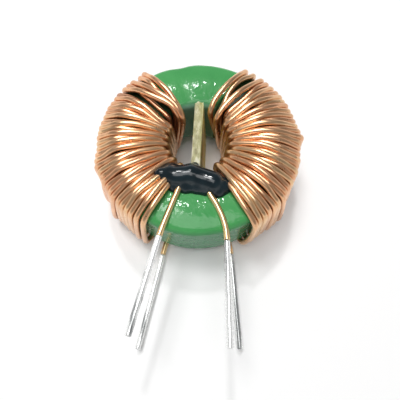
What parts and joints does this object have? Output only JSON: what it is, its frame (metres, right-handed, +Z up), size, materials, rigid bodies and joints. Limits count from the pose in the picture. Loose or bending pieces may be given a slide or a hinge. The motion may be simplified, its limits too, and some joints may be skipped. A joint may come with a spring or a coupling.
{
  "type": "toroidal inductor",
  "caption": "Coated ferrite ring with mirrored copper wire windings, a separator board across the bore, a bead of adhesive and tinned leads to the front.",
  "frame": {"origin": "middle of the whole part's footprint, leads included, on the surface that it rests on", "axes": "+Z up along the ring's axis, +Y from the lead tips towards the ring's bare back, +X to the right seen from the lead side"},
  "size_m": [0.0228, 0.0314, 0.0108],
  "materials": {
    "ferrite": "matt sintered",
    "green_epoxy": "glossy, slightly lumpy powder coat",
    "enamelled_copper": "glossy clear enamel on copper",
    "fibre_board": "matt glass fibre board with sawn edges",
    "black_adhesive": "glossy set adhesive",
    "tin_solder": "satin, slightly uneven dipped tin"
  },
  "bodies": {
    "root": {"ferrite_core": "ferrite", "core_coating": "green_epoxy", "left_winding": "enamelled_copper", "right_winding": "enamelled_copper", "separator": "fibre_board", "adhesive_bead": "black_adhesive", "upper_left_solder": "tin_solder", "lower_left_solder": "tin_solder", "upper_right_solder": "tin_solder", "lower_right_solder": "tin_solder"}
  },
  "joints": []
}
